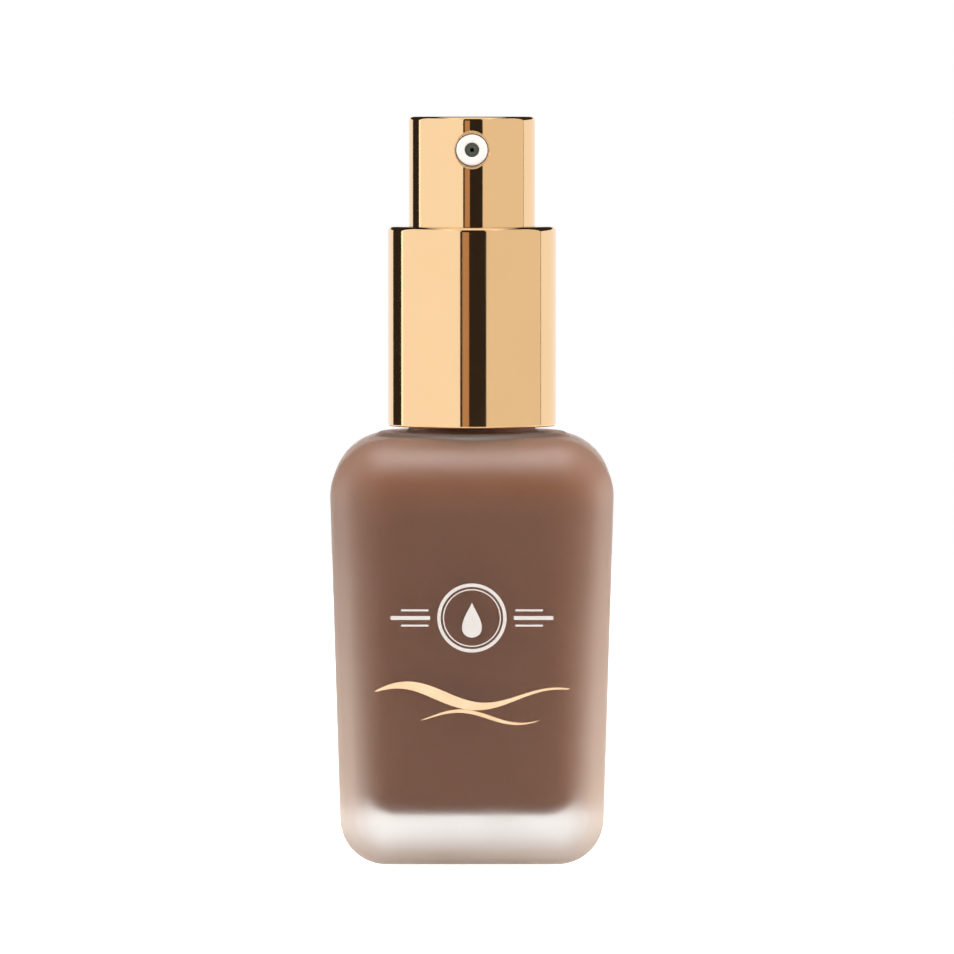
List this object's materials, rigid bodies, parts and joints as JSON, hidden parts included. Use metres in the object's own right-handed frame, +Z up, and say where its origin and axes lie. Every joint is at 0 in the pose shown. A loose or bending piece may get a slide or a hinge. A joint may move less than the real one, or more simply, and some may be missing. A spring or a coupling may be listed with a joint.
{
  "type": "foundation bottle",
  "caption": "Square frosted glass bottle of brown liquid makeup with a round gold-coloured collar and a press-down dosing pump that has a white side nozzle.",
  "frame": {"origin": "centre of the bottle's base, on the surface that it stands on", "axes": "+Z up along the neck and pump axis, -Y is the front where the nozzle points, +X to the right seen from the front"},
  "size_m": [0.0354, 0.0354, 0.0934],
  "materials": {
    "frosted_glass": "satin",
    "makeup": "satin",
    "gold_metal": "polished",
    "white_plastic": "gloss",
    "natural_plastic": "satin",
    "steel": "polished",
    "seal_foam": "matte"
  },
  "bodies": {
    "bottle": {"glass_bottle": "frosted_glass", "makeup_fill": "makeup"},
    "pump": {"pump_housing": "natural_plastic", "chaplet": "white_plastic", "dip_tube": "natural_plastic", "neck_gasket": "seal_foam"},
    "collar": {"collar_shell": "gold_metal", "closure": "white_plastic", "collar_liner": "gold_metal"},
    "inlet_valve": {"inlet_ball": "steel"},
    "plunger": {"piston": "white_plastic", "return_spring": "steel"},
    "outlet_valve": {"outlet_ball": "steel"},
    "button": {"stem": "white_plastic", "actuator_core": "white_plastic", "actuator_shell": "gold_metal", "nozzle_insert": "white_plastic"}
  },
  "joints": [
    {"name": "pump_lift", "type": "slide", "parent": "bottle", "child": "pump", "axis": [0, 0, 1], "range_m": [0, 0.00635]},
    {"name": "collar_unscrew", "type": "hinge", "parent": "pump", "child": "collar", "pos_m": [0, 0, 0.0667], "axis": [0, 0, 1], "range_deg": [0, 720]},
    {"name": "actuator_press", "type": "slide", "parent": "pump", "child": "plunger", "axis": [0, 0, -1], "range_m": [0, 0.0045], "stiffness_N_per_m": 800, "springref_m": -0.003, "deforming": ["return_spring"]},
    {"name": "actuator_spin", "type": "hinge", "parent": "plunger", "child": "button", "pos_m": [0, 0, 0.0893], "axis": [0, 0, 1], "continuous": true},
    {"name": "inlet_ball_lift", "type": "slide", "parent": "pump", "child": "inlet_valve", "axis": [0, 0, 1], "range_m": [0, 0.0012]},
    {"name": "outlet_ball_lift", "type": "slide", "parent": "plunger", "child": "outlet_valve", "axis": [0, 0, 1], "range_m": [0, 0.0008]}
  ],
  "couplings": [
    {"joint": "collar_unscrew", "follows": "pump_lift", "rad_per_m": 1979}
  ]
}
